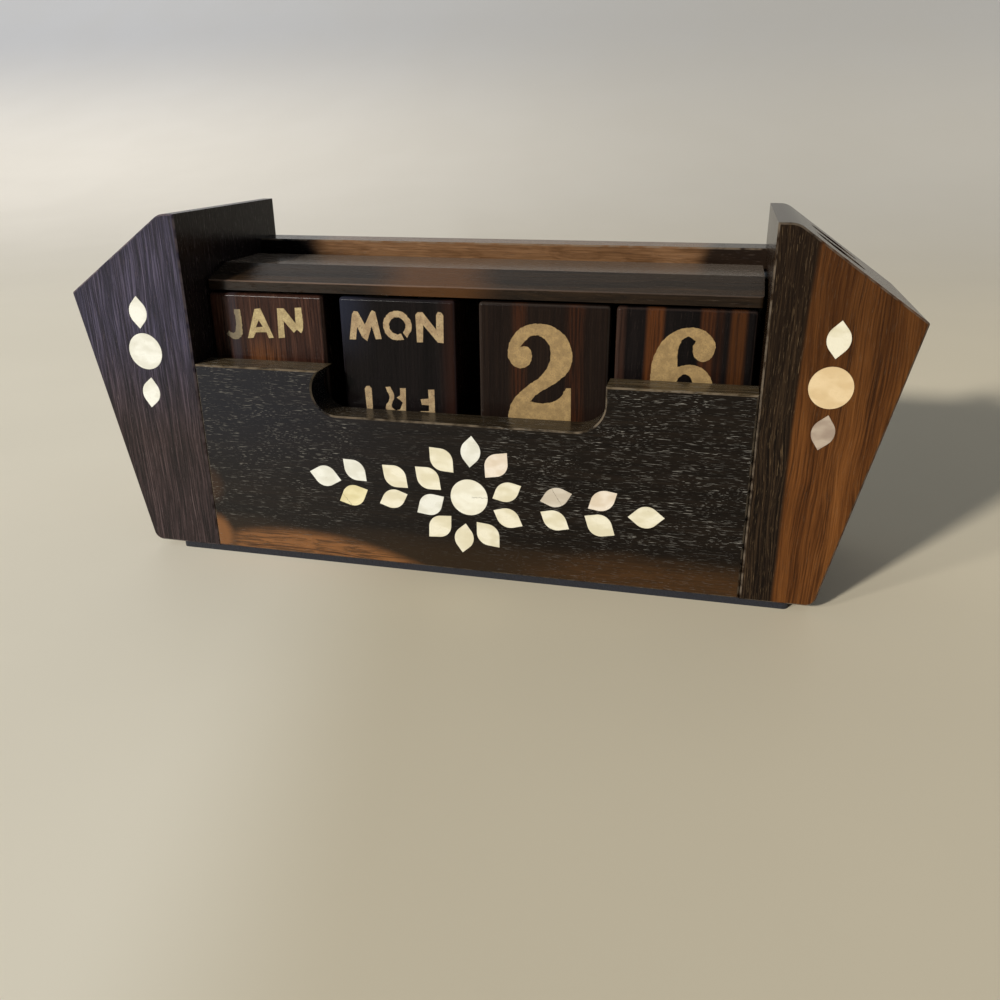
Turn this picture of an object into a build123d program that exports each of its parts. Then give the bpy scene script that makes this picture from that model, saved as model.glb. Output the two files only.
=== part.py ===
from build123d import *
import math
import os

os.makedirs("parts", exist_ok=True)

# A hardwood desk calendar in millimetres: two kite-shaped end blocks carry a back wall,
# a shelf and a base board. Four date blocks stand on the shelf under a hinged lid, and a
# drawer with an inlaid front slides out below them. X runs along the calendar, the front
# faces -Y, and Z = 0 is the desk top.

# ---- Driving dimensions ------------------------------------------------------------

# Whole case
felt_thickness = 1.8
arris = 0.4  # planed off the edges of the case boards

# End blocks, heights above the underside of the wood
end_height = 86.0
end_top_flat = 4.0
end_reach = 31.5  # out to the sharp corner
end_corner_height = 66.8
left_foot_width = 19.2  # the two were sawn by hand
right_foot_width = 16.8
end_shoulder_radius = 5.0
end_corner_radius = 0.6
end_toe_radius = 2.5

# Pen holes, drilled straight down into the right end block
pen_hole_radius = 5.5
pen_hole_inset = 14.5  # from the block's inner face
pen_hole_pitch = 17.0
pen_hole_floor = 30.0  # wood left below the holes

# Boards between the end blocks
base_board_thickness = 4.0
drawer_space_height = 27.0
shelf_thickness = 4.0
back_wall_thickness = 10.0
back_wall_rise = 3.6  # above the closed lid

# Date blocks, from left to right: month, day, tens and units
block_size = 31.3
day_block_width = 29.6
block_arris_radius = 0.9
block_front_gap = 1.5  # from the back of the drawer front
block_back_gap = 0.2
month_wall_gap = 0.8
month_day_gap = 4.0
day_tens_gap = 5.8
tens_units_gap = 1.3
units_wall_gap = 1.6

# Lid and its hinge pins
lid_gap_above_blocks = 0.7
lid_thickness = 5.4
lid_front_band = 2.3  # upright edge below the bevel
lid_bevel_run = 9.6
lid_front_inset = 10.0  # from the front of the case
lid_end_gap = 0.8
lid_back_gap = 0.4
lid_corner_radius = 0.8
hinge_pin_radius = 1.2
hinge_pin_in_end = 8.0
hinge_pin_in_lid = 7.0
hinge_fit = 0.05  # radial running clearance in the lid
pin_seat_fit = 0.01  # radial clearance in the end blocks
pin_hole_spare = 0.5  # free depth beyond each end of a pin

# Drawer
drawer_front_height = 49.8
drawer_front_thickness = 8.0
drawer_front_gap = 0.2  # at each end of the drawer front
drawer_stop_gap = 0.3  # from the drawer front to the boards behind it
drawer_side_thickness = 4.0
drawer_bottom_thickness = 3.0
drawer_side_clearance = 0.5
drawer_under_clearance = 0.2
drawer_top_clearance = 0.8
drawer_back_clearance = 0.5

# Finger notch in the drawer front
notch_left = -37.2
notch_right = 35.0
notch_depth = 11.1
notch_left_radius = 6.2
notch_right_radius = 7.0

# Felt under the case
felt_under_end = 11.5  # how far it reaches under each end block
felt_edge_inset = 0.8  # from the front and back of the case
felt_corner_radius = 1.5

# Mother-of-pearl inlays, let in flush with the wood
inlay_thickness = 1.0
inlay_gap = 0.05
disc_radius = 4.7
end_disc_radius = 4.6
large_leaf = (8.6, 5.5)  # length, width
small_leaf = (8.1, 4.9)
leaf_tip_angle = 84.0

# ---- Levels and faces worked out from them ------------------------------------------

# The case is as deep and as wide inside as its row of blocks asks
block_bay_depth = block_front_gap + block_size + block_back_gap
case_depth = drawer_front_thickness + block_bay_depth + back_wall_thickness
block_gaps = month_wall_gap + month_day_gap + day_tens_gap + tens_units_gap + units_wall_gap
opening_width = 3 * block_size + day_block_width + block_gaps

wood_z = felt_thickness
front_y = -case_depth / 2
back_y = case_depth / 2
inner_x = opening_width / 2
outer_x = inner_x + end_reach

base_top = wood_z + base_board_thickness
shelf_under = base_top + drawer_space_height
shelf_top = shelf_under + shelf_thickness
block_top = shelf_top + block_size
lid_under = block_top + lid_gap_above_blocks
lid_top = lid_under + lid_thickness
back_wall_top = lid_top + back_wall_rise
back_wall_front = back_y - back_wall_thickness
boards_front = front_y + drawer_front_thickness + drawer_stop_gap

lid_front = front_y + lid_front_inset
lid_half_length = inner_x - lid_end_gap
lid_back_radius = lid_thickness / 2
hinge_y = back_wall_front - lid_back_gap - lid_back_radius
hinge_z = lid_under + lid_back_radius

front_face = Plane.XZ.offset(-front_y)


# ---- Shapes that repeat -------------------------------------------------------------


def write_piece(piece, name):
    """Label a finished piece and write it to its own file."""
    piece.part.label = name
    export_step(piece.part, f"parts/{name}.step")


def board(x_span, y_span, z_span):
    """A plain sawn board between two X, two Y and two Z limits."""
    with BuildPart() as piece:
        with BuildSketch(Plane.XY.offset(z_span[0])):
            with Locations((sum(x_span) / 2, sum(y_span) / 2)):
                Rectangle(x_span[1] - x_span[0], y_span[1] - y_span[0])
        extrude(amount=z_span[1] - z_span[0])
    return piece


def leaf_outline(size, spare=0.0):
    """A pointed leaf along X: straight flanks from both tips, tangent to a round belly."""
    half_length = size[0] / 2 + spare
    half_width = size[1] / 2 + spare
    flank = math.radians(leaf_tip_angle / 2)
    belly = (half_length * math.tan(flank) - half_width) / (1 / math.cos(flank) - 1)
    touch_x = belly * math.sin(flank)
    touch_y = half_width - belly * (1 - math.cos(flank))
    with BuildSketch() as leaf:
        with BuildLine():
            Line((-half_length, 0), (-touch_x, touch_y))
            ThreePointArc((-touch_x, touch_y), (0, half_width), (touch_x, touch_y))
            Line((touch_x, touch_y), (half_length, 0))
            Line((half_length, 0), (touch_x, -touch_y))
            ThreePointArc((touch_x, -touch_y), (0, -half_width), (-touch_x, -touch_y))
            Line((-touch_x, -touch_y), (-half_length, 0))
        make_face()
    return leaf.sketch


def disc_outline(radius, spare=0.0):
    """A round shell disc."""
    with BuildSketch() as disc:
        Circle(radius + spare)
    return disc.sketch


# An inlay is its shape, its size, its place on the front and the turn of its long axis.
# The leaves are laid by eye, so each has its own place.
flower_disc = (disc_outline, disc_radius, 2.4, 20.3, 0)
flower_petals = [
    (leaf_outline, small_leaf, 3.0, 32.2, 86),
    (leaf_outline, large_leaf, -4.4, 29.6, 134),
    (leaf_outline, large_leaf, -8.0, 24.5, 139),
    (leaf_outline, large_leaf, -7.6, 17.5, 34),
    (leaf_outline, large_leaf, -5.3, 11.8, 46),
    (leaf_outline, small_leaf, 0.9, 9.2, 83),
    (leaf_outline, large_leaf, 7.1, 10.7, 132),
    (leaf_outline, small_leaf, 12.2, 15.7, 154),
    (leaf_outline, small_leaf, 11.9, 22.5, 28),
    (leaf_outline, large_leaf, 9.3, 29.2, 51),
]
left_spray = [
    (leaf_outline, large_leaf, -16.6, 24.3, 139),
    (leaf_outline, small_leaf, -17.3, 18.2, 22),
    (leaf_outline, small_leaf, -27.2, 25.1, 137),
    (leaf_outline, large_leaf, -28.0, 18.2, 25),
    (leaf_outline, large_leaf, -35.3, 22.9, 168),
]
right_spray = [
    (leaf_outline, small_leaf, 24.0, 22.2, 18),
    (leaf_outline, small_leaf, 23.8, 16.2, 151),
    (leaf_outline, small_leaf, 35.2, 22.3, 33),
    (leaf_outline, large_leaf, 34.7, 15.9, 149),
    (leaf_outline, large_leaf, 45.6, 19.0, 3),
]
left_end_inlays = [
    (leaf_outline, small_leaf, -82.0, 62.5, 89),
    (disc_outline, end_disc_radius, -81.6, 52.7, 0),
    (leaf_outline, small_leaf, -81.8, 42.0, 81),
]
right_end_inlays = [
    (leaf_outline, small_leaf, 83.0, 62.8, 87),
    (disc_outline, end_disc_radius, 82.7, 52.5, 0),
    (leaf_outline, small_leaf, 82.3, 42.5, 81),
]


def lay_inlays(inlays, spare=0.0):
    """Draw inlay outlines in the open sketch on the front face."""
    for outline, size, x, height, turn in inlays:
        with Locations(Location((x, wood_z + height), turn)):
            add(outline(size, spare))


def write_inlays(inlays, names):
    """Cut each inlay from shell, flush with the front face."""
    for inlay, name in zip(inlays, names):
        with BuildPart() as shell:
            with BuildSketch(front_face):
                lay_inlays([inlay])
            extrude(amount=-inlay_thickness)
        write_piece(shell, name)


# ---- End blocks ---------------------------------------------------------------------


def end_block(side, foot_width, inlays, pen_holes):
    """One kite-shaped end block; side is -1 on the left and 1 on the right."""
    toe_x = side * (inner_x + foot_width)
    shoulder_x = side * (inner_x + end_top_flat)
    with BuildPart() as block:
        with BuildSketch(front_face):
            with BuildLine():
                FilletPolyline(
                    (side * inner_x, wood_z),
                    (toe_x, wood_z),
                    (side * outer_x, wood_z + end_corner_height),
                    (shoulder_x, wood_z + end_height),
                    (side * inner_x, wood_z + end_height),
                    radius=[0, end_toe_radius, end_corner_radius, end_shoulder_radius, 0],
                    close=True,
                )
            make_face()
        extrude(amount=-case_depth)
        chamfer(faces().filter_by(Axis.Y).edges(), arris)
        # Shallow recesses for the shell inlays
        with BuildSketch(front_face):
            lay_inlays(inlays, inlay_gap)
        extrude(amount=-inlay_thickness, mode=Mode.SUBTRACT)
        # Seat of the hinge pin, drilled from the inner face
        with BuildSketch(Plane.YZ.offset(side * inner_x)):
            with Locations((hinge_y, hinge_z)):
                Circle(hinge_pin_radius + pin_seat_fit)
        extrude(amount=side * (hinge_pin_in_end + pin_hole_spare), mode=Mode.SUBTRACT)
        if pen_holes:
            with BuildSketch(Plane.XY.offset(wood_z + pen_hole_floor)):
                with Locations((side * (inner_x + pen_hole_inset), 0)):
                    with GridLocations(0, pen_hole_pitch, 1, 2):
                        Circle(pen_hole_radius)
            extrude(amount=end_height, mode=Mode.SUBTRACT)
    return block


left_end = end_block(-1, left_foot_width, left_end_inlays, pen_holes=False)
right_end = end_block(1, right_foot_width, right_end_inlays, pen_holes=True)
write_piece(left_end, "left_end_block")
write_piece(right_end, "right_end_block")
write_inlays(left_end_inlays, ["left_end_upper_leaf", "left_end_disc", "left_end_lower_leaf"])
write_inlays(right_end_inlays, ["right_end_upper_leaf", "right_end_disc", "right_end_lower_leaf"])

# ---- Boards of the case -------------------------------------------------------------

boards_y = (boards_front, back_wall_front)
inner_span = (-inner_x, inner_x)
write_piece(board(inner_span, boards_y, (wood_z, base_top)), "base_board")
write_piece(board(inner_span, boards_y, (shelf_under, shelf_top)), "block_shelf")

with BuildPart() as back_wall:
    with BuildSketch(Plane.XZ.offset(-back_y)):
        with Locations((0, (wood_z + back_wall_top) / 2)):
            Rectangle(opening_width, back_wall_top - wood_z)
    extrude(amount=back_wall_thickness)
    top_edges = edges().filter_by(Axis.X).group_by(Axis.Z)[-1]
    chamfer(top_edges, arris)
write_piece(back_wall, "back_wall")

# One felt sheet under the boards and ends; the drawer front slides just above it
felt_half = inner_x + felt_under_end
with BuildPart() as base_felt:
    with BuildSketch():
        RectangleRounded(2 * felt_half, case_depth - 2 * felt_edge_inset, felt_corner_radius)
    extrude(amount=felt_thickness)
write_piece(base_felt, "base_felt")

# ---- Lid and hinge pins -------------------------------------------------------------

with BuildPart() as lid:
    with BuildSketch(Plane.YZ):
        with BuildLine():
            Polyline(
                (hinge_y, lid_under),
                (lid_front, lid_under),
                (lid_front, lid_under + lid_front_band),
                (lid_front + lid_bevel_run, lid_top),
                (hinge_y, lid_top),
            )
            # The back edge is rounded about the hinge so that it turns clear of the wall
            ThreePointArc((hinge_y, lid_top), (hinge_y + lid_back_radius, hinge_z), (hinge_y, lid_under))
        make_face()
    extrude(amount=lid_half_length, both=True)
    fillet(edges().filter_by(Axis.Z), lid_corner_radius)
    for side in (-1, 1):
        with BuildSketch(Plane.YZ.offset(side * lid_half_length)):
            with Locations((hinge_y, hinge_z)):
                Circle(hinge_pin_radius + hinge_fit)
        extrude(amount=-side * (hinge_pin_in_lid + pin_hole_spare), mode=Mode.SUBTRACT)
write_piece(lid, "lid")

for side, hand in ((-1, "left"), (1, "right")):
    with BuildPart() as hinge_pin:
        with BuildSketch(Plane.YZ.offset(side * (lid_half_length - hinge_pin_in_lid))):
            with Locations((hinge_y, hinge_z)):
                Circle(hinge_pin_radius)
        extrude(amount=side * (hinge_pin_in_lid + lid_end_gap + hinge_pin_in_end))
    write_piece(hinge_pin, f"{hand}_hinge_pin")

# ---- Date blocks --------------------------------------------------------------------

block_back = back_wall_front - block_back_gap
date_blocks = [
    ("month_block", month_wall_gap, block_size),
    ("day_block", month_day_gap, day_block_width),
    ("tens_block", day_tens_gap, block_size),
    ("units_block", tens_units_gap, block_size),
]
block_left = -inner_x
for name, gap, width in date_blocks:
    block_left += gap
    block = board(
        (block_left, block_left + width),
        (block_back - block_size, block_back),
        (shelf_top, block_top),
    )
    with block:
        fillet(edges(), block_arris_radius)
    write_piece(block, name)
    block_left += width

# ---- Drawer -------------------------------------------------------------------------

drawer_front_half = inner_x - drawer_front_gap
drawer_front_under = wood_z + drawer_under_clearance
drawer_front_top = drawer_front_under + drawer_front_height
drawer_front_back = front_y + drawer_front_thickness
notch_floor = drawer_front_top - notch_depth

with BuildPart() as drawer_front:
    with BuildSketch(front_face):
        with BuildLine():
            FilletPolyline(
                (-drawer_front_half, drawer_front_under),
                (drawer_front_half, drawer_front_under),
                (drawer_front_half, drawer_front_top),
                (notch_right, drawer_front_top),
                (notch_right, notch_floor),
                (notch_left + notch_left_radius, notch_floor),
                (notch_left + notch_left_radius, drawer_front_top),
                (-drawer_front_half, drawer_front_top),
                radius=[0, 0, 0, 0, notch_right_radius, 0, 0, 0],
                close=True,
            )
        make_face()
        # The left end of the notch follows a drilled hole
        with Locations((notch_left + notch_left_radius, notch_floor + notch_left_radius)):
            Circle(notch_left_radius, mode=Mode.SUBTRACT)
    extrude(amount=-drawer_front_thickness)
    chamfer(faces().filter_by(Axis.Y).sort_by(Axis.Y)[0].edges(), arris)
    with BuildSketch(front_face):
        lay_inlays([flower_disc, *flower_petals, *left_spray, *right_spray], spare=inlay_gap)
    extrude(amount=-inlay_thickness, mode=Mode.SUBTRACT)
write_piece(drawer_front, "drawer_front")

write_inlays([flower_disc], ["flower_disc"])
write_inlays(flower_petals, [f"flower_petal_{n:02d}" for n in range(1, 11)])
write_inlays(left_spray, [f"left_leaf_{n:02d}" for n in range(1, 6)])
write_inlays(right_spray, [f"right_leaf_{n:02d}" for n in range(1, 6)])

box_half = inner_x - drawer_side_clearance
box_under = base_top + drawer_under_clearance
box_floor = box_under + drawer_bottom_thickness
box_top = shelf_under - drawer_top_clearance
box_back = back_wall_front - drawer_back_clearance
side_y = (drawer_front_back, box_back)
side_z = (box_floor, box_top)
inside_half = box_half - drawer_side_thickness
write_piece(board((-box_half, box_half), side_y, (box_under, box_floor)), "drawer_bottom")
write_piece(board((-box_half, -inside_half), side_y, side_z), "drawer_left_side")
write_piece(board((inside_half, box_half), side_y, side_z), "drawer_right_side")
back_y_span = (box_back - drawer_side_thickness, box_back)
write_piece(board((-inside_half, inside_half), back_y_span, side_z), "drawer_back")
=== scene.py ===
import bpy
import math
from mathutils import Matrix, Vector, noise


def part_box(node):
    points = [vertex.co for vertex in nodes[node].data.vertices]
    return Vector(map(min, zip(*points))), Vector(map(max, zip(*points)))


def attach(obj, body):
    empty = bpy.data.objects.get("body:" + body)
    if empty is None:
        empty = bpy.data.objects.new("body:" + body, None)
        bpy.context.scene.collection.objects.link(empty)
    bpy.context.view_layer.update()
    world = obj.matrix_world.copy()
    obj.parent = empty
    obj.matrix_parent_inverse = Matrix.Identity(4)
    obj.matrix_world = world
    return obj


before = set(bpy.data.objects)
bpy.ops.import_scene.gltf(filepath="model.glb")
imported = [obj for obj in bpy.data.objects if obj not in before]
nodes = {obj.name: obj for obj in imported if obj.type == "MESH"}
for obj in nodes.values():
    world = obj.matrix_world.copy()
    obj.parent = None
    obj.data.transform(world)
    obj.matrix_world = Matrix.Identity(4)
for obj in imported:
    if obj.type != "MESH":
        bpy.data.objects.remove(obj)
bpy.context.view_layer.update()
bpy.ops.object.select_all(action="DESELECT")


# ---- Left end block ----
# A kite-shaped block of dark, purplish rosewood, sawn and planed, with the grain standing
# upright. It was rubbed with wax, so it has a soft shine, and its planed arrises are worn pale.

wood_relief = 0.00012  # metres, the depth of the pores and fibres


def tone(red, green, blue):
    """A colour as seen on screen, 0 to 255, as the linear values that a shader takes."""
    levels = [value / 255 for value in (red, green, blue)]
    return [v / 12.92 if v < 0.04 else ((v + 0.055) / 1.055) ** 2.4 for v in levels] + [1.0]


class Recipe:
    """A material in the making, with short ways to add its nodes."""

    def __init__(self, name):
        self.material = bpy.data.materials.new(name)
        self.material.use_nodes = True
        self.tree = self.material.node_tree
        self.shader = self.tree.nodes["Principled BSDF"]
        self.place = self.tree.nodes.new("ShaderNodeTexCoord")

    def put(self, value, socket):
        """Link an output to a socket, or give the socket a plain value."""
        if isinstance(value, bpy.types.NodeSocket):
            self.tree.links.new(value, socket)
        else:
            socket.default_value = value

    def math(self, operation, first, second=0.0):
        made = self.tree.nodes.new("ShaderNodeMath")
        made.operation = operation
        self.put(first, made.inputs[0])
        self.put(second, made.inputs[1])
        return made.outputs[0]

    def plus(self, first, second):
        return self.math("ADD", first, second)

    def minus(self, first, second):
        return self.math("SUBTRACT", first, second)

    def times(self, first, second):
        return self.math("MULTIPLY", first, second)

    def length(self, first, second):
        return self.math("SQRT", self.plus(self.times(first, first), self.times(second, second)))

    def join(self, x, y, z):
        made = self.tree.nodes.new("ShaderNodeCombineXYZ")
        for value, socket in zip((x, y, z), made.inputs):
            self.put(value, socket)
        return made.outputs[0]

    def split(self, vector):
        made = self.tree.nodes.new("ShaderNodeSeparateXYZ")
        self.put(vector, made.inputs[0])
        return made.outputs

    def millimetres(self, centre=(0, 0, 0)):
        """The place on the object in millimetres, counted from a centre."""
        made = self.tree.nodes.new("ShaderNodeMapping")
        made.inputs["Scale"].default_value = (1000, 1000, 1000)
        made.inputs["Location"].default_value = [-value for value in centre]
        self.put(self.place.outputs["Object"], made.inputs["Vector"])
        return self.split(made.outputs["Vector"])

    def cells(self, per_millimetre):
        """The place as a vector for a noise that is as fine along every axis."""
        return self.join(*[self.times(part, per_millimetre) for part in self.millimetres()])

    def noise(self, vector, detail, rough=0.5):
        made = self.tree.nodes.new("ShaderNodeTexNoise")
        made.inputs["Scale"].default_value = 1.0
        self.put(vector, made.inputs["Vector"])
        self.put(detail, made.inputs["Detail"])
        self.put(rough, made.inputs["Roughness"])
        return made.outputs["Fac"]

    def span(self, value, low, high, start=0.0, end=1.0):
        """Spread low..high over start..end, with soft shoulders."""
        made = self.tree.nodes.new("ShaderNodeMapRange")
        made.interpolation_type = "SMOOTHSTEP"
        self.put(value, made.inputs["Value"])
        for name, number in (("From Min", low), ("From Max", high), ("To Min", start), ("To Max", end)):
            self.put(number, made.inputs[name])
        return made.outputs["Result"]

    def zone(self, value, start, end, soft):
        """1 between start and end, fading out over soft beyond both."""
        rise = self.span(value, start - soft, start + soft)
        fall = self.span(value, end - soft, end + soft)
        return self.minus(rise, fall)

    def mix(self, share, first, second):
        made = self.tree.nodes.new("ShaderNodeMix")
        made.data_type = "RGBA"
        self.put(share, made.inputs["Factor"])
        self.put(first, made.inputs["A"])
        self.put(second, made.inputs["B"])
        return made.outputs["Result"]

    def ramp(self, value, stops):
        made = self.tree.nodes.new("ShaderNodeValToRGB")
        self.put(value, made.inputs["Fac"])
        elements = made.color_ramp.elements
        while len(elements) < len(stops):
            elements.new(0.5)
        for element, (position, colour) in zip(elements, stops):
            element.position = position
            element.color = colour
        return made.outputs["Color"]

    def bump(self, height, depth, strength):
        """Fine relief, with its depth in metres."""
        made = self.tree.nodes.new("ShaderNodeBump")
        self.put(depth, made.inputs["Distance"])
        self.put(strength, made.inputs["Strength"])
        self.put(height, made.inputs["Height"])
        self.put(made.outputs["Normal"], self.shader.inputs["Normal"])


def worn_arris(wood):
    """The planed arrises of the front are rubbed pale: they face between the front and the edges."""
    facing = wood.times(wood.normal[1], wood.normal[1])
    turned = wood.times(wood.times(facing, wood.minus(1.0, facing)), 4.0)
    patch = wood.span(wood.noise(wood.cells(0.35), 3.0), 0.34, 0.62)
    return wood.times(wood.times(turned, patch), 0.6)


def along_grain(wood, along, across, deep, lengthwise, crosswise):
    """The place as a vector for a noise that is drawn out along the grain, with so many cells
    per millimetre along the grain and across it."""
    return wood.join(
        wood.times(along, lengthwise), wood.times(across, crosswise), wood.times(deep, crosswise))


def rosewood(name, grain, pith, ring, stops, pore_share, pore=tone(104, 94, 86),
             pore_level=0.62, wander=3.0, fibre=0.4, shine=0.2, gloss=0.12, wear_and_highlight=worn_arris,
             worn_and_highlight=tone(112, 98, 82), figure=None):
    """Waxed rosewood for one board. The grain runs along X or Z, the pith is the centre of the
    tree's rings as seen from the board, and ring is their usual width, all in millimetres.
    Fibre is the fine threads' part in the colour, against the rings'. A figure adds what is
    special to the board, on some boards with painted light or shade. The edge mask and its
    colour mark edges rubbed pale on most boards, and a painted highlight on the lid."""
    wood = Recipe(name)
    wood.at = wood.millimetres()
    wood.normal = wood.split(wood.place.outputs["Normal"])
    x, y, z = wood.millimetres(pith)
    along, across, deep = {"X": (x, y, z), "Z": (z, x, y)}[grain]
    # The rings wander slowly along the board
    slow = along_grain(wood, along, across, deep, 0.02, 0.06)
    wood.drift = wood.times(wood.minus(wood.noise(slow, 3.0), 0.5), 2 * wander)
    across = wood.plus(across, wood.drift)
    rings = wood.math("DIVIDE", wood.length(across, deep), ring)
    bands = wood.noise(wood.join(rings, 0.0, 0.0), 3.0, 0.6)
    thread = along_grain(wood, along, across, deep, 0.06, 2.4)
    wood.fibres = wood.noise(thread, 4.0, 0.7)
    blend = wood.plus(wood.times(bands, 1.0 - fibre), wood.times(wood.fibres, fibre))
    colour = wood.ramp(blend, stops)
    # Open pores are short pale dashes along the grain
    dash = along_grain(wood, along, across, deep, 0.32, 6.5)
    pores = wood.span(wood.noise(dash, 2.0, 0.55), pore_level, pore_level + 0.09)
    wood.pores = wood.times(pores, pore_share)
    if figure:
        colour = figure(wood, colour)
    colour = wood.mix(wood.pores, colour, pore)
    if wear_and_highlight:
        colour = wood.mix(wear_and_highlight(wood), colour, worn_and_highlight)
    wood.put(colour, wood.shader.inputs["Base Color"])
    dull = wood.plus(wood.times(wood.fibres, 0.1), wood.times(pores, 0.2))
    wood.put(wood.plus(dull, shine - 0.05), wood.shader.inputs["Roughness"])
    wood.shader.inputs["Specular IOR Level"].default_value = gloss
    wood.bump(wood.minus(wood.times(wood.fibres, 0.5), pores), wood_relief, 0.5)
    return wood.material


def dress(name, material):
    """Give one CAD node its finish."""
    nodes[name].data.materials.clear()
    nodes[name].data.materials.append(material)


def purple_head_with_painted_sheen(wood, colour):
    """The upper half of the block is more purple than its foot, partly the wood and partly a
    painted bluish sheen on the faces turned to the front, and its inner face is brown.
    """
    share = wood.span(wood.plus(wood.at[2], wood.times(wood.drift, 4.0)), 30, 62, 0.0, 0.6)
    bluish = wood.ramp(
        wood.fibres, [(0.38, tone(22, 22, 36)), (0.5, tone(40, 40, 60)), (0.64, tone(74, 73, 98))])
    # The painted sheen is strongest where the faces turn to the front
    share = wood.times(share, wood.span(wood.normal[1], 0.2, -0.8, 0.35, 1.0))
    colour = wood.mix(share, colour, bluish)
    return wood.mix(wood.span(wood.normal[0], 0.9, 0.99, 0.0, 0.75), colour, tone(24, 18, 12))


dress("left_end_block", rosewood(
    "rosewood_left_end", "Z", (-60, -90, 0), 1.6,
    [(0.38, tone(10, 6, 7)), (0.47, tone(26, 18, 18)),
     (0.55, tone(48, 36, 36)), (0.66, tone(84, 70, 70))],
    pore=tone(110, 98, 98), pore_share=0.3, wander=2.0, fibre=0.7, worn_and_highlight=tone(108, 96, 98),
    figure=purple_head_with_painted_sheen))


# ---- Right end block ----
# The matching block, cut where dark heartwood meets brown sapwood: a black stripe runs down
# its inner side. Two holes are drilled straight down into its sloping top for pens.

stripe_edge = 75.8  # millimetres, where the stripe ends across
stripe_waist = 45.0  # the height from which it widens towards the top
widening = 0.0008  # times the height above the waist, squared
pen_hole_x = 83.0
pen_hole_y = 8.5
pen_hole_radius = 5.5
below_pen_holes = 20.0  # a height under the floors of the holes


def heart_stripe_with_hole_shade(wood, colour):
    """Heartwood beside the inner face, and painted shade on the walls of the pen holes."""
    x, y, z = wood.at
    rise = wood.math("MAXIMUM", wood.minus(z, stripe_waist), 0.0)
    bend = wood.times(wood.times(rise, rise), widening)
    beyond = wood.minus(x, wood.plus(bend, wood.times(wood.drift, 0.15)))
    heart = wood.span(beyond, stripe_edge + 0.5, stripe_edge - 0.5)
    dark = wood.ramp(
        wood.fibres, [(0.36, tone(8, 5, 4)), (0.5, tone(26, 18, 12)), (0.7, tone(58, 44, 30))])
    colour = wood.mix(heart, colour, dark)
    seam = wood.zone(beyond, stripe_edge - 0.6, stripe_edge + 0.3, 0.5)
    colour = wood.mix(wood.times(seam, 0.6), colour, tone(18, 12, 8))
    # Two thin dark streaks in the sapwood, and a darker head
    streaks = wood.plus(wood.zone(beyond, 84.5, 86.0, 1.2), wood.zone(beyond, 90.5, 91.5, 0.8))
    streaks = wood.times(streaks, wood.span(wood.fibres, 0.42, 0.56, 0.75, 0.2))
    colour = wood.mix(streaks, colour, tone(36, 18, 8))
    colour = wood.mix(wood.span(z, 30, 75, 0.0, 0.4), colour, tone(24, 13, 5))
    wood.pores = wood.times(wood.pores, wood.span(heart, 0.0, 1.0, 0.3, 1.0))
    # Painted shade: the walls of the pen holes are darkened
    beside = wood.minus(wood.math("ABSOLUTE", y), pen_hole_y)
    reach = wood.length(wood.minus(x, pen_hole_x), beside)
    wall = wood.span(reach, pen_hole_radius + 0.08, pen_hole_radius + 0.02)
    painted_hole_shade = wood.times(wall, wood.span(z, below_pen_holes, below_pen_holes + 4))
    return wood.mix(painted_hole_shade, colour, tone(20, 12, 8))


dress("right_end_block", rosewood(
    "rosewood_right_end", "Z", (60, -110, 0), 3.2,
    [(0.34, tone(36, 18, 6)), (0.45, tone(68, 38, 15)),
     (0.55, tone(92, 55, 24)), (0.70, tone(120, 76, 38))],
    pore=tone(104, 84, 58), pore_share=0.5, fibre=0.55, worn_and_highlight=tone(106, 95, 82),
    figure=heart_stripe_with_hole_shade))


# ---- Back wall, block shelf and base board ----
# Three boards glued between the end blocks: the tall back wall, the shelf that the date
# blocks stand on, and the thin board under the drawer.


def dark_ends(wood, colour):
    """The orange wall turns black towards its left end, and dark brown at the right."""
    x = wood.plus(wood.at[0], wood.times(wood.drift, 1.5))
    colour = wood.mix(wood.span(x, -48, -55), colour, tone(14, 10, 9))
    return wood.mix(wood.span(x, 53, 58, 0.0, 0.95), colour, tone(18, 13, 10))


dress("back_wall", rosewood(
    "rosewood_back_wall", "X", (0, 60, 70), 3.0,
    [(0.34, tone(42, 27, 16)), (0.45, tone(86, 60, 38)),
     (0.56, tone(114, 84, 58)), (0.70, tone(140, 108, 80))],
    pore=tone(60, 44, 30), pore_share=0.35, wander=4.0, figure=dark_ends))
# Very dark: partly the wood and partly painted shade for the recesses these boards line
inner_board = rosewood(
    "rosewood_inner_board", "X", (0, 20, 30), 3.0,
    [(0.30, tone(10, 7, 6)), (0.50, tone(22, 15, 11)), (0.75, tone(38, 26, 18))],
    pore_share=0.2, wear_and_highlight=None)
dress("block_shelf", inner_board)
dress("base_board", inner_board)


# ---- Hinge pins ----
# Two short rods of brushed steel, each a tight fit in its end block. They reach into holes in
# the ends of the lid, which turns on them.

steel = Recipe("pin_steel")
steel.shader.inputs["Metallic"].default_value = 1.0
brushing = steel.noise(steel.cells(2.0), 3.0)
steel.put(steel.ramp(brushing, [(0.3, tone(150, 150, 152)), (0.7, tone(192, 192, 190))]),
          steel.shader.inputs["Base Color"])
steel.put(steel.span(brushing, 0.3, 0.7, 0.25, 0.4), steel.shader.inputs["Roughness"])
for side in ("left", "right"):
    dress(f"{side}_hinge_pin", steel.material)


# ---- Lid ----
# A solid board with a wide bevel along its front, which covers the date blocks and tips up
# on the pins to let them out. Handling has polished it, and a highlight is painted along its front
# arris.

band_height = 2.3  # millimetres, of the upright band below the bevel
lid_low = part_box("lid")[0]
lid_front = lid_low.y * 1000
band_top = lid_low.z * 1000 + band_height


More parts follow.
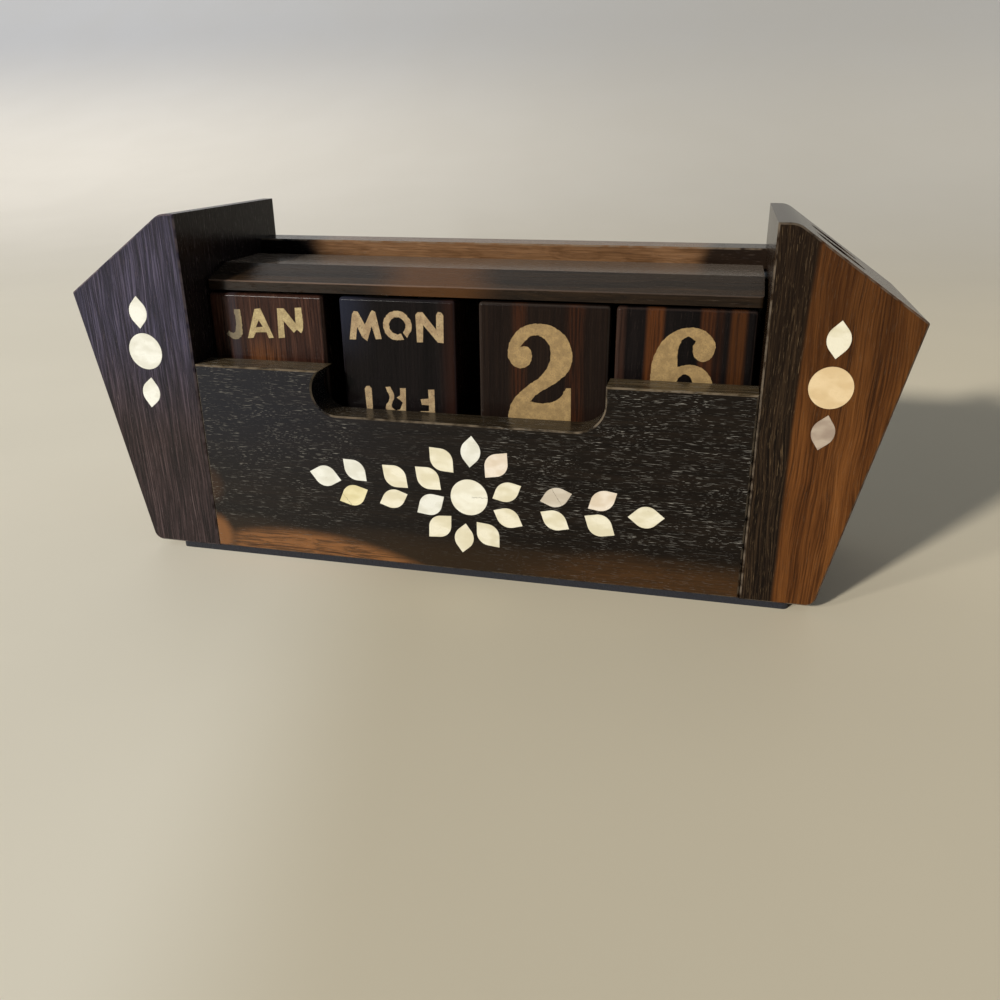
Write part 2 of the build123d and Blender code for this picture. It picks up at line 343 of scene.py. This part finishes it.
def lid_figure_with_painted_reflection(wood, colour):
    """Orange sapwood a third of the way along, a dark front band and a painted grey reflection on the
    flat top.
    """
    x = wood.plus(wood.at[0], wood.times(wood.drift, 1.5))
    colour = wood.mix(wood.times(wood.zone(x, -21, 3, 7.0), 0.75), colour, tone(88, 55, 24))
    colour = wood.mix(wood.span(wood.normal[1], -0.9, -0.98, 0.0, 0.35), colour, tone(10, 6, 4))
    # Painted reflection: the flat top is mixed towards pale grey
    return wood.mix(wood.span(wood.normal[2], 0.97, 0.99, 0.0, 0.45), colour, tone(132, 120, 108))


def lid_arris_highlight(wood):
    """A painted highlight on the arris between the bevel and the upright band, stronger towards the
    left.
    """
    height = wood.plus(wood.at[2], wood.times(wood.minus(wood.fibres, 0.5), 0.3))
    near_front = wood.span(wood.at[1], lid_front + 0.9, lid_front + 0.4)
    line = wood.times(wood.zone(height, band_top - 0.1, band_top + 0.16, 0.1), near_front)
    return wood.times(line, wood.span(wood.at[0], 40, -30, 0.15, 0.55))


# On the lid the edge mask and its colour paint a highlight along the front arris
dress("lid", rosewood(
    "rosewood_lid", "X", (-60, -60, 40), 3.0,
    [(0.34, tone(12, 8, 5)), (0.46, tone(28, 20, 13)),
     (0.57, tone(44, 32, 21)), (0.70, tone(68, 50, 34))],
    pore=tone(74, 58, 42), pore_share=0.25, wander=4.0, shine=0.16, gloss=0.13,
    wear_and_highlight=lid_arris_highlight, worn_and_highlight=tone(122, 100, 86), figure=lid_figure_with_painted_reflection))


# ---- Date blocks ----
# Four loose cubes of mixed rosewood, their arrises rounded over so that they turn easily in
# the hand. The grain of each stands upright as the block lies now.


def paler_block_arrises(wood):
    """Rounded arrises are a little paler: they face between two flat sides."""
    sides = [wood.math("ABSOLUTE", part) for part in wood.normal]
    flat = wood.math("MAXIMUM", wood.math("MAXIMUM", sides[0], sides[1]), sides[2])
    return wood.span(flat, 0.985, 0.75, 0.0, 0.15)


def month_figure_with_painted_light(wood, colour):
    """Red-brown, with a painted strip of bluish light near the left, a pale scratch and an orange foot.
    """
    x = wood.plus(wood.at[0], wood.times(wood.minus(wood.fibres, 0.5), 1.2))
    foot = wood.times(wood.span(wood.at[2], 60, 52), wood.zone(x, -58, -49, 2.5))
    foot = wood.times(foot, wood.span(wood.fibres, 0.4, 0.6, 0.1, 0.6))
    colour = wood.mix(foot, colour, tone(98, 60, 32))
    colour = wood.mix(wood.times(wood.zone(x, -62.3, -60.2, 0.6), 0.45), colour, tone(50, 49, 56))
    scratch = wood.zone(wood.at[0], -49.93, -49.87, 0.08)
    colour = wood.mix(wood.times(scratch, 0.5), colour, tone(110, 80, 62))
    # Painted shade: the side towards the next block is black
    return wood.mix(wood.span(wood.at[0], -38.0, -37.0, 0.0, 0.85), colour, tone(8, 5, 4))


def day_figure_with_painted_light(wood, colour):
    """Nearly black, with painted bluish light at the upper left, and reddish along the right side."""
    x = wood.plus(wood.at[0], wood.times(wood.minus(wood.fibres, 0.5), 1.5))
    # Painted bluish light over the upper left
    painted_blue_light = wood.times(wood.span(x, -22, -32), wood.span(wood.at[2], 50, 66))
    colour = wood.mix(wood.times(painted_blue_light, 0.6), colour, tone(34, 38, 52))
    return wood.mix(wood.times(wood.span(x, -7.5, -4.0), 0.5), colour, tone(44, 24, 17))


def tens_figure(wood, colour):
    """Dark brown with two reddish streaks."""
    x = wood.plus(wood.at[0], wood.times(wood.drift, 0.8))
    streaks = wood.plus(wood.zone(x, 11.5, 14.5, 1.2), wood.zone(x, 24.5, 28.0, 1.5))
    streaks = wood.times(streaks, wood.span(wood.fibres, 0.4, 0.6, 0.1, 0.5))
    return wood.mix(streaks, colour, tone(66, 34, 17))


def units_figure(wood, colour):
    """Boldly striped: orange and red-brown bands on black."""
    x = wood.plus(wood.at[0], wood.times(wood.drift, 0.35))
    share = wood.span(wood.fibres, 0.38, 0.56, 0.45, 0.95)
    for start, end, band in ((35.0, 37.8, tone(44, 29, 23)), (42.6, 46.4, tone(72, 40, 19)),
                             (54.6, 57.8, tone(58, 32, 17)), (58.4, 59.6, tone(38, 21, 13)),
                             (61.2, 64.6, tone(60, 34, 16))):
        colour = wood.mix(wood.times(wood.zone(x, start, end, 0.6), share), colour, band)
    return colour


dark_stops = [(0.32, tone(6, 5, 5)), (0.50, tone(14, 11, 11)), (0.72, tone(25, 20, 19))]
block_woods = {
    "month_block": rosewood(
        "rosewood_month_block", "Z", (-70, -60, 0), 1.4,
        [(0.36, tone(16, 8, 6)), (0.46, tone(36, 20, 15)),
         (0.56, tone(54, 33, 25)), (0.68, tone(80, 54, 42))],
        pore=tone(96, 72, 62), pore_share=0.3, wander=1.5, fibre=0.7, gloss=0.07,
        wear_and_highlight=paler_block_arrises, worn_and_highlight=tone(70, 52, 46), figure=month_figure_with_painted_light),
    "day_block": rosewood(
        "rosewood_day_block", "Z", (-40, -80, 0), 2.6, dark_stops,
        pore=tone(48, 44, 48), pore_share=0.2, wander=1.5, gloss=0.05,
        wear_and_highlight=paler_block_arrises, worn_and_highlight=tone(62, 60, 66), figure=day_figure_with_painted_light),
    "tens_block": rosewood(
        "rosewood_tens_block", "Z", (30, -70, 0), 3.5,
        [(0.32, tone(11, 7, 6)), (0.48, tone(22, 15, 12)),
         (0.62, tone(34, 24, 18)), (0.78, tone(46, 34, 26))],
        pore=tone(58, 48, 40), pore_share=0.2, wander=1.5, gloss=0.06,
        wear_and_highlight=paler_block_arrises, worn_and_highlight=tone(92, 84, 78), figure=tens_figure),
    "units_block": rosewood(
        "rosewood_units_block", "Z", (60, -70, 0), 2.0, dark_stops,
        pore=tone(70, 56, 50), pore_share=0.2, wander=1.5, gloss=0.06,
        wear_and_highlight=paler_block_arrises, worn_and_highlight=tone(80, 66, 58), figure=units_figure),
}
for name, material in block_woods.items():
    dress(name, material)


# ---- Lettering on the blocks ----
# Words and figures stencilled in gold-tan paint, thin and worn, with specks of wood showing
# through. Words stand twice on a face, once upside down, so that a block serves two dates.

paint_thickness = 0.1  # millimetres, half of it sunk in the wood
ragged_edge = 0.16  # millimetres, how far the paint's edge strays
ragged_pitch = 1.7  # how often it strays, per millimetre
merge_distance = 0.002  # millimetres
cap_share = 0.73  # of the plain face's size that a capital letter takes up
fattening = 0.012  # of a capital's height, added to its strokes all round
paint_relief = 0.00008  # metres
round_stroke_steps = 12
wood_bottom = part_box("base_board")[0].z


def stencil_paint(name, fresh, aged, chipped, painted_grey_left_of=None):
    """Old gold-tan paint, mottled, and lost where the speckle is above a level. Painted shade and
    bluish light grey what stands left of a place, in millimetres across."""
    paint = Recipe(name)
    fine = paint.noise(paint.cells(3.4), 4.0, 0.75)
    broad = paint.noise(paint.cells(0.5), 2.0)
    colour = paint.mix(paint.span(broad, 0.35, 0.65), fresh, aged)
    colour = paint.mix(paint.span(fine, 0.34, 0.60, 0.6, 0.0), colour, tone(92, 70, 40))
    colour = paint.mix(paint.span(fine, chipped, chipped + 0.05), colour, tone(34, 22, 16))
    if painted_grey_left_of:
        painted_grey_share = paint.span(paint.millimetres()[0], painted_grey_left_of, painted_grey_left_of - 2.0, 0.0, 0.75)
        colour = paint.mix(painted_grey_share, colour, tone(88, 80, 66))
    paint.put(colour, paint.shader.inputs["Base Color"])
    paint.put(paint.span(fine, 0.3, 0.7, 0.5, 0.7), paint.shader.inputs["Roughness"])
    paint.bump(fine, paint_relief, 0.6)
    return paint.material


def settle(piece, name, body, paint):
    """Turn one set of marks into a closed mesh in metres, paint it and let it ride on its block."""
    bpy.ops.object.select_all(action="DESELECT")
    piece.select_set(True)
    bpy.context.view_layer.objects.active = piece
    bpy.ops.object.convert(target="MESH")
    bpy.ops.object.mode_set(mode="EDIT")
    bpy.ops.mesh.select_all(action="SELECT")
    bpy.ops.mesh.remove_doubles(threshold=merge_distance)
    bpy.ops.mesh.normals_make_consistent(inside=False)
    bpy.ops.object.mode_set(mode="OBJECT")
    for vertex in piece.data.vertices:
        where = Vector((vertex.co.x, vertex.co.y, 0)) * ragged_pitch
        elsewhere = where + Vector((50, 0, 0))  # so that across and along stray on their own
        vertex.co += Vector((noise.noise(where), noise.noise(elsewhere), 0)) * ragged_edge
    piece.scale = (0.001, 0.001, 0.001)
    bpy.ops.object.transform_apply(location=True, rotation=True, scale=True)
    piece.name = name
    piece.data.materials.clear()
    piece.data.materials.append(paint)
    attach(piece, body)


def drawn_marks(name, body, outlines, paint):
    """Marks on a block's front from outlines in millimetres, across and above the underside of
    the wood. A point with a third value is on a round stretch, and any other is a corner."""
    curve = bpy.data.curves.new(name, "CURVE")
    curve.dimensions = "2D"
    curve.fill_mode = "BOTH"
    curve.resolution_u = round_stroke_steps
    curve.extrude = paint_thickness / 2
    for outline in outlines:
        spline = curve.splines.new("BEZIER")
        spline.bezier_points.add(len(outline) - 1)
        spline.use_cyclic_u = True
        for point, (x, height, *rounded) in zip(spline.bezier_points, outline):
            point.co = (x, height, 0)
            point.handle_left_type = "AUTO" if rounded else "VECTOR"
            point.handle_right_type = point.handle_left_type
    piece = bpy.data.objects.new(name, curve)
    bpy.context.scene.collection.objects.link(piece)
    piece.location = (0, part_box(f"{body}_block")[0].y, wood_bottom)
    piece.rotation_euler.x = math.radians(90)
    settle(piece, name, body, paint)


def typed_marks(name, body, text, cap_height, centre, turn, paint):
    """Marks that the photograph doesn't show, in a plain face: a word or figure on a flat side."""
    bpy.ops.object.text_add()
    piece = bpy.context.object
    piece.data.body = text
    piece.data.align_x = "CENTER"
    piece.data.align_y = "CENTER"
    piece.data.size = cap_height / cap_share
    piece.data.extrude = paint_thickness / 2
    piece.data.offset = cap_height * fattening
    piece.location = centre
    piece.rotation_euler = [math.radians(angle) for angle in turn]
    settle(piece, name, body, paint)


def open_ring(centre_x, height, outer, inner, start, sweep):
    """A round stroke that doesn't quite close, such as a worn O, from two arcs of eight points."""
    turns = [math.radians(start + sweep * step / 7) for step in range(8)]
    out = [(centre_x + outer * math.cos(t), height + outer * math.sin(t), "round") for t in turns]
    back = [(centre_x + inner * math.cos(t), height + inner * math.sin(t), "round")
            for t in reversed(turns)]
    ends = [out[0][:2], out[-1][:2], back[0][:2], back[-1][:2]]
    return [point[:2] if point[:2] in ends else point for point in out + back]


r = "round"  # marks a point on a round stretch of an outline
# The J of the month's word is greyed by painted shade and bluish light
word_paint = stencil_paint(
    "stencil_paint_words", tone(172, 154, 108), tone(146, 128, 86), 0.64, painted_grey_left_of=-58.4)
faded_paint = stencil_paint("stencil_paint_faded", tone(166, 144, 106), tone(142, 118, 84), 0.57)
figure_paint = stencil_paint("stencil_paint_figures", tone(146, 120, 74), tone(126, 102, 60), 0.66)

letter_j = [
    (-61.0, 62.3), (-59.3, 62.4), (-59.15, 58.2, r), (-59.8, 55.4, r), (-61.7, 54.7, r),
    (-63.8, 55.9), (-63.1, 56.8), (-61.8, 56.3, r), (-60.95, 57.7, r)]
letter_a = [
    (-55.3, 62.6), (-53.5, 62.8), (-50.7, 55.5), (-52.1, 55.4), (-52.6, 56.9), (-55.6, 56.7),
    (-56.3, 55.2), (-57.9, 55.1)]
hole_of_a = [(-54.4, 59.9), (-53.4, 58.1), (-55.4, 58.0)]
letter_n = [
    (-49.1, 62.9), (-47.2, 63.0), (-44.3, 59.3), (-44.1, 63.2), (-42.4, 63.4), (-42.5, 57.8, r),
    (-43.0, 57.0), (-44.1, 57.8), (-45.0, 57.0), (-47.5, 59.9), (-47.6, 55.6), (-49.3, 55.5)]
drawn_marks("month_front_word", "month", [letter_j, letter_a, hole_of_a, letter_n], word_paint)

letter_m = [
    (-30.1, 56.0), (-29.0, 62.2), (-28.5, 63.0), (-27.5, 62.9), (-25.9, 59.7), (-24.2, 62.9),
    (-23.7, 63.4), (-22.9, 63.0), (-21.6, 56.4), (-23.3, 56.3), (-24.1, 59.5), (-25.5, 55.7),
    (-26.7, 56.7), (-27.9, 59.3), (-28.4, 56.0)]
letter_o = open_ring(-17.4, 59.8, 3.65, 2.1, -50, 345)
second_n = [
    (-12.5, 56.1), (-12.6, 62.7), (-12.0, 63.4), (-10.8, 63.4), (-7.5, 59.3), (-7.4, 62.8),
    (-6.9, 63.6), (-6.1, 63.5), (-5.7, 62.8), (-5.8, 56.1), (-7.2, 56.2), (-10.8, 60.3),
    (-11.0, 56.1)]
drawn_marks("day_front_word", "day", [letter_m, letter_o, second_n], faded_paint)

turned_i = [
    (-27.0, 43.6), (-26.5, 44.3), (-25.7, 44.4), (-25.2, 43.8), (-25.1, 39.0), (-25.5, 37.4),
    (-26.7, 37.4)]
turned_r = [
    (-21.5, 44.3), (-20.1, 44.5), (-19.2, 41.9, r), (-20.0, 39.4, r), (-19.1, 38.3),
    (-17.8, 38.7), (-17.0, 40.5), (-17.7, 41.2), (-18.6, 41.8), (-17.6, 42.4), (-17.6, 44.2),
    (-16.0, 44.4), (-16.3, 37.2), (-20.4, 37.2), (-21.6, 38.9, r), (-20.5, 41.7, r)]
turned_f = [
    (-10.2, 44.2), (-8.6, 44.3), (-8.6, 37.2), (-12.6, 37.1), (-12.4, 38.5), (-10.2, 38.7),
    (-10.1, 40.3), (-12.0, 40.3), (-12.3, 41.7), (-10.2, 42.0)]
drawn_marks("day_front_turned_word", "day", [turned_i, turned_r, turned_f], faded_paint)

figure_two = [
    (10.2, 55.4, r), (11.3, 58.4, r), (14.0, 60.9, r), (18.0, 61.7, r), (22.4, 60.4, r),
    (25.1, 57.0, r), (25.3, 51.8, r), (22.4, 48.2, r), (17.5, 44.9, r), (15.6, 42.8),
    (18.9, 42.5, r), (22.6, 43.9, r), (24.4, 46.6), (25.5, 46.6), (25.6, 38.6), (10.0, 38.2),
    (11.2, 42.5, r), (14.8, 46.5, r), (18.7, 49.8, r), (20.5, 54.4, r), (19.2, 58.0, r),
    (16.3, 58.9, r), (13.2, 56.2), (15.0, 56.1, r), (16.0, 53.8, r), (14.9, 51.5, r),
    (12.6, 51.0, r), (10.6, 52.6, r)]
drawn_marks("tens_front_figure", "tens", [figure_two], figure_paint)

figure_six = [
    (44.0, 49.6, r), (44.9, 56.2, r), (48.0, 60.5, r), (53.0, 62.2, r), (57.2, 60.2, r),
    (58.1, 57.3, r), (56.0, 54.6, r), (53.7, 55.6, r), (53.2, 57.8, r), (53.8, 59.2),
    (51.8, 60.1, r), (50.3, 58.4, r), (50.0, 53.1), (53.4, 53.7, r), (57.0, 51.8, r),
    (58.4, 46.6, r), (56.6, 41.0, r), (51.4, 38.6, r), (46.4, 40.8, r), (44.2, 45.4, r)]
counter_of_six = [
    (50.2, 50.0, r), (51.9, 51.4, r), (53.6, 49.8, r), (53.8, 45.4, r), (53.0, 41.4, r),
    (51.8, 40.2, r), (50.7, 41.4, r), (50.1, 45.4, r)]
drawn_marks("units_front_figure", "units", [figure_six, counter_of_six], figure_paint)

word_cap = 7.4  # millimetres, a capital's height
figure_cap = 22.5
word_inset = 0.0065  # metres from a block's edge to the middle of a word
for body, word, turned_word in (("month", "MAR", "SEP"), ("day", "TUE", "SAT")):
    low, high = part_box(f"{body}_block")
    middle_x = (low.x + high.x) / 2
    typed_marks(f"{body}_top_word", body, word, word_cap,
                (middle_x, high.y - word_inset, high.z), (0, 0, 0), faded_paint)
    typed_marks(f"{body}_top_turned_word", body, turned_word, word_cap,
                (middle_x, low.y + word_inset, high.z), (0, 0, 180), faded_paint)
    if body == "month":
        typed_marks("month_front_turned_word", body, "JUL", word_cap,
                    (middle_x, low.y, low.z + word_inset), (90, 180, 0), word_paint)
for body, figure in (("tens", "1"), ("units", "7")):
    low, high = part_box(f"{body}_block")
    typed_marks(f"{body}_top_figure", body, figure, figure_cap,
                ((low.x + high.x) / 2, (low.y + high.y) / 2, high.z), (0, 0, 0), figure_paint)


# ---- Drawer ----
# A thick inlaid front, cut away at the top as a finger pull, glued to a plain box of thin
# boards. The front is nearly black, with open pores and a tongue of orange sapwood low down.

sapwood = tone(116, 77, 44)
raw_top = tone(88, 74, 52)
tongue_crown_x = -45.0  # millimetres, where the tongue of sapwood is highest
tongue_bend = 0.0055  # its fall, for each square millimetre of the distance from there
growth_line_bend = 0.0030


def front_figure_with_painted_sheen(wood, colour):
    """Where the front isn't black: painted bluish sheen at the upper left, olive and reddish foot, and
    orange sapwood.
    """
    x, z = wood.at[0], wood.at[2]
    # Painted bluish sheen over the upper left
    painted_blue_light = wood.times(wood.span(x, 5, -62), wood.span(z, 16, 44))
    colour = wood.mix(wood.times(painted_blue_light, 0.7), colour, tone(15, 18, 27))
    foot = wood.plus(z, wood.times(wood.drift, 1.2))
    colour = wood.mix(wood.span(foot, 13, 5, 0.0, 0.75), colour, tone(40, 29, 17))
    red_foot = wood.times(wood.span(foot, 12, 4), wood.span(x, 6, 40))
    red_foot = wood.times(red_foot, wood.span(wood.fibres, 0.38, 0.6, 0.35, 0.75))
    colour = wood.mix(red_foot, colour, tone(66, 43, 22))
    # The tongue's upper edge is an arc, and a dark growth line runs inside it
    from_crown = wood.minus(x, tongue_crown_x)
    bulge = wood.times(from_crown, from_crown)
    ragged = wood.times(wood.minus(wood.fibres, 0.5), 1.8)
    height = wood.plus(wood.plus(z, wood.times(bulge, tongue_bend)), ragged)
    tongue = wood.times(wood.span(height, 10.0, 6.6), wood.span(x, -65.5, -60.5))
    flecked = wood.span(wood.fibres, 0.40, 0.56, 0.3, 0.95)
    colour = wood.mix(wood.times(tongue, flecked), colour, sapwood)
    line_height = wood.plus(z, wood.times(bulge, growth_line_bend))
    line = wood.times(wood.zone(line_height, 3.35, 3.65, 0.18), wood.zone(x, -60, -22, 2.5))
    colour = wood.mix(wood.times(line, 0.85), colour, tone(40, 22, 12))
    # Two spots of sapwood by the left end
    for centre_x, centre_z, size, share in ((-68.5, 5.0, 4.6, 0.8), (-68.5, 19.5, 3.6, 0.1)):
        away = wood.length(wood.minus(x, centre_x), wood.times(wood.minus(z, centre_z), 0.8))
        spot = wood.span(wood.plus(away, ragged), size + 1.4, size - 1.6)
        colour = wood.mix(wood.times(spot, share), colour, sapwood)
    # The pores are open at the left and right, and filled in the middle and at the foot
    sides = wood.math("MAXIMUM", wood.span(x, -20, -34), wood.span(x, 2, 12))
    open_grain = wood.times(wood.plus(wood.times(sides, 0.7), 0.3), wood.span(z, 8, 16, 0.25, 1.0))
    clusters = wood.noise(wood.join(wood.times(x, 0.12), 0.0, wood.times(z, 0.35)), 2.0)
    clusters = wood.span(clusters, 0.38, 0.58, 0.35, 1.0)
    wood.pores = wood.times(wood.times(wood.pores, open_grain), clusters)
    # The top and the finger pull were never stained, and hands have rubbed them pale
    bare = wood.times(wood.span(wood.normal[2], 0.5, 0.8), wood.span(wood.fibres, 0.38, 0.6, 0.25, 1.0))
    return wood.mix(wood.times(bare, wood.span(z, 43, 50, 0.35, 0.9)), colour, raw_top)


dress("drawer_front", rosewood(
    "rosewood_drawer_front", "X", (0, -110, -30), 2.6,
    [(0.32, tone(8, 6, 5)), (0.48, tone(17, 13, 10)),
     (0.62, tone(27, 21, 16)), (0.76, tone(42, 33, 25))],
    pore=tone(122, 119, 112), pore_share=0.75, pore_level=0.60, wander=4.0, fibre=0.5,
    worn_and_highlight=tone(112, 100, 84), figure=front_figure_with_painted_sheen))
box_board = rosewood(
    "rosewood_drawer_box", "X", (0, 20, 20), 3.0,
    [(0.30, tone(34, 21, 14)), (0.50, tone(58, 38, 25)), (0.75, tone(84, 58, 39))],
    pore_share=0.3, wear_and_highlight=None)
for name in ("drawer_bottom", "drawer_left_side", "drawer_right_side", "drawer_back"):
    dress(name, box_board)


# ---- Shell inlays ----
# Discs and leaves sawn from mother-of-pearl and let in flush with the wood. Most are creamy or
# milky white, a few are rosy, warm or grey, and three are cracked.

half_crack = 0.07  # millimetres, half the width of a crack


def mother_of_pearl(name, light, shade, crack=None):
    """Polished shell with cloudy growth layers. A crack is a piece's name, the crack's slope and
    height, and where it starts and ends across, in millimetres from the middle of the piece."""
    shell = Recipe(name)
    x, y, z = shell.millimetres()
    cloudy = shell.join(shell.times(x, 0.2), shell.times(y, 0.2), shell.times(z, 0.35))
    layers = shell.noise(cloudy, 2.0)
    specks = shell.noise(shell.join(shell.times(x, 2.2), y, shell.times(z, 2.2)), 3.0, 0.6)
    colour = shell.mix(shell.span(layers, 0.36, 0.64), light, shade)
    colour = shell.mix(shell.span(specks, 0.60, 0.74, 0.0, 0.25), colour, tone(150, 138, 112))
    if crack:
        piece, slope, height, start, end = crack
        low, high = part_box(piece)
        from_middle = shell.millimetres((low + high) * 500)
        dx, dz = from_middle[0], from_middle[2]
        jagged = shell.times(shell.minus(specks, 0.5), 1.2)
        offset = shell.plus(shell.minus(dz, shell.times(dx, slope)), jagged)
        line = shell.zone(offset, height - half_crack, height + half_crack, 0.12)
        line = shell.times(line, shell.zone(dx, start, end, 0.3))
        colour = shell.mix(shell.times(line, 0.8), colour, tone(60, 50, 36))
    shell.put(colour, shell.shader.inputs["Base Color"])
    shell.put(shell.span(layers, 0.3, 0.7, 0.26, 0.38), shell.shader.inputs["Roughness"])
    shell.shader.inputs["Coat Weight"].default_value = 0.25
    shell.shader.inputs["Coat Roughness"].default_value = 0.12
    return shell.material


milky = mother_of_pearl("shell_milky", tone(206, 206, 197), tone(192, 191, 179))
creamy = mother_of_pearl("shell_creamy", tone(208, 203, 183), tone(193, 186, 160))
rosy = mother_of_pearl("shell_rosy", tone(208, 198, 184), tone(192, 178, 158))
warm = mother_of_pearl("shell_warm", tone(202, 180, 142), tone(190, 166, 126))
grey = mother_of_pearl("shell_grey", tone(160, 146, 130), tone(136, 120, 106))
cracked_disc = mother_of_pearl(
    "shell_cracked_disc", tone(212, 210, 196), tone(200, 196, 178),
    ("flower_disc", 0.05, 0.0, 0.8, 5.2))
cracked_yellow = mother_of_pearl(
    "shell_cracked_yellow", tone(206, 198, 160), tone(190, 180, 138),
    ("left_leaf_04", -1.3, -3.6, -3.4, 0.2))
cracked_grey = mother_of_pearl(
    "shell_cracked_grey", tone(190, 182, 168), tone(172, 162, 146),
    ("right_leaf_01", -1.6, 0.4, -1.0, 1.6))

# What isn't listed is creamy
inlay_finish = {
    "left_end_upper_leaf": milky, "left_end_disc": milky, "left_end_lower_leaf": milky,
    "right_end_disc": warm, "right_end_lower_leaf": grey,
    "flower_disc": cracked_disc,
    "flower_petal_01": milky, "flower_petal_04": milky, "flower_petal_10": rosy,
    "left_leaf_03": milky, "left_leaf_04": cracked_yellow, "left_leaf_05": milky,
    "right_leaf_01": cracked_grey, "right_leaf_03": rosy,
}
for name in nodes:
    if name.endswith("disc") or "leaf" in name or "petal" in name:
        dress(name, inlay_finish.get(name, creamy))


# ---- Felt ----
# A sheet of dark blue felt that keeps the case from scratching a table. It is glued under the
# base, and set back a little from the front and back of the case.

fuzz_height = 0.0004  # metres

felt = Recipe("blue_felt")
fuzz = felt.noise(felt.cells(2.6), 4.0)
felt.put(felt.ramp(fuzz, [(0.3, tone(9, 10, 16)), (0.7, tone(22, 24, 35))]),
         felt.shader.inputs["Base Color"])
felt.shader.inputs["Roughness"].default_value = 0.95
felt.shader.inputs["Sheen Weight"].default_value = 0.08
felt.bump(fuzz, fuzz_height, 0.8)
dress("base_felt", felt.material)


# ---- Table and backdrop ----
# A pale, slightly glossy table top that sweeps up behind the object, cream in front and
# fading to a cool grey above that is partly painted shade, with a painted pool of light
# towards the left. Places here are in metres.

table_size = 8.0
sweep_start = 0.5
sweep_radius = 1.6
sweep_steps = 24
backdrop_height = 4.0
mottle_fineness = 9.0  # cells per metre
far_edge = sweep_start + sweep_radius
bpy.ops.mesh.primitive_plane_add(size=table_size, location=(0, far_edge - table_size / 2, 0))
table = bpy.context.object
table.name = "table"
bpy.ops.object.transform_apply(location=True)
bpy.ops.object.mode_set(mode="EDIT")
bpy.ops.mesh.select_mode(type="EDGE")
bpy.ops.mesh.select_all(action="DESELECT")
bpy.ops.object.mode_set(mode="OBJECT")
for edge in table.data.edges:
    edge.select = all(table.data.vertices[index].co.y > far_edge - 0.01 for index in edge.vertices)
bpy.ops.object.mode_set(mode="EDIT")
bpy.ops.mesh.extrude_region_move(TRANSFORM_OT_translate={"value": (0, 0, backdrop_height)})
bpy.ops.object.mode_set(mode="OBJECT")
sweep = table.modifiers.new("sweep", "BEVEL")
sweep.width = sweep_radius
sweep.segments = sweep_steps
bpy.ops.object.modifier_apply(modifier="sweep")
bpy.ops.object.shade_smooth()

surface = Recipe("pale_table")
x, y, z = surface.split(surface.place.outputs["Object"])
# The photograph's left to right lies at 14 degrees to the case
to_right = surface.plus(surface.times(x, 0.97), surface.times(y, 0.24))
# Painted light: each colour is paler towards the left
near = surface.mix(surface.span(to_right, -0.015, -0.06), tone(205, 195, 172), tone(229, 222, 204))
far = surface.mix(surface.span(to_right, 0.4, -0.65), tone(180, 176, 167), tone(233, 228, 219))
top = surface.mix(surface.span(to_right, 0.6, -0.9), tone(152, 151, 149), tone(170, 172, 177))
ground = surface.mix(surface.span(y, 0.1, 0.9), near, far)
cloudy = surface.join(*[surface.times(part, mottle_fineness) for part in (x, y, z)])
mottle = surface.noise(cloudy, 3.0)
ground = surface.mix(surface.span(z, 0.01, 0.28), ground, top)
ground = surface.mix(surface.span(mottle, 0.3, 0.7, 0.0, 0.05), ground, tone(150, 142, 124))
surface.put(ground, surface.shader.inputs["Base Color"])
surface.shader.inputs["Roughness"].default_value = 0.5
surface.shader.inputs["Specular IOR Level"].default_value = 0.35
table.data.materials.append(surface.material)


# ---- Light and camera ----
# A soft lamp low at the front left, a weaker one further to the left, and even light from all
# round. The camera stands where the photograph was taken.

sky_colour = (0.76, 0.87, 1.0, 1.0)
sky_strength = 0.18
sky_seen_extra = 0.45  # so that what the camera sees past the table's edge is pale
lamp_colour = (1.0, 0.96, 0.89)
lamp_spread = 5  # degrees
camera_lens = 32.31  # millimetres, on a sensor 36 wide
camera_stand = (0.058846, -0.221432, 0.105856)
camera_swing = 13.936  # degrees, to the left
camera_dip = 22.523
camera_lean = -0.547

world = bpy.data.worlds.new("studio")
bpy.context.scene.world = world
world.use_nodes = True
sky = world.node_tree.nodes["Background"]
sky.inputs["Color"].default_value = sky_colour
rays = world.node_tree.nodes.new("ShaderNodeLightPath")
paler = world.node_tree.nodes.new("ShaderNodeMath")
paler.operation = "MULTIPLY_ADD"
paler.inputs[1].default_value = sky_seen_extra
paler.inputs[2].default_value = sky_strength
world.node_tree.links.new(rays.outputs["Is Camera Ray"], paler.inputs[0])
world.node_tree.links.new(paler.outputs["Value"], sky.inputs["Strength"])

for name, energy, toward in (("key", 3.8, (-1.2, -1.95, 1.0)), ("side", 0.9, (-1.95, -1.9, 1.0))):
    lamp_data = bpy.data.lights.new(name, "SUN")
    lamp_data.energy = energy
    lamp_data.angle = math.radians(lamp_spread)
    lamp_data.color = lamp_colour
    lamp = bpy.data.objects.new(name, lamp_data)
    bpy.context.scene.collection.objects.link(lamp)
    lamp.rotation_mode = "QUATERNION"
    lamp.rotation_quaternion = Vector(toward).to_track_quat("Z", "Y")

camera_data = bpy.data.cameras.new("camera")
camera = bpy.data.objects.new("camera", camera_data)
bpy.context.scene.collection.objects.link(camera)
bpy.context.scene.camera = camera
camera_data.sensor_width = 36.0
camera_data.lens = camera_lens
camera_data.clip_start = 0.01
camera_place = Matrix.Translation(camera_stand)
camera_turn = Matrix.Rotation(math.radians(camera_swing), 4, "Z")
camera_tip = Matrix.Rotation(math.radians(90 - camera_dip), 4, "X")
camera_roll = Matrix.Rotation(math.radians(camera_lean), 4, "Z")
camera.matrix_world = camera_place @ camera_turn @ camera_tip @ camera_roll

bpy.context.scene.view_settings.view_transform = "Standard"
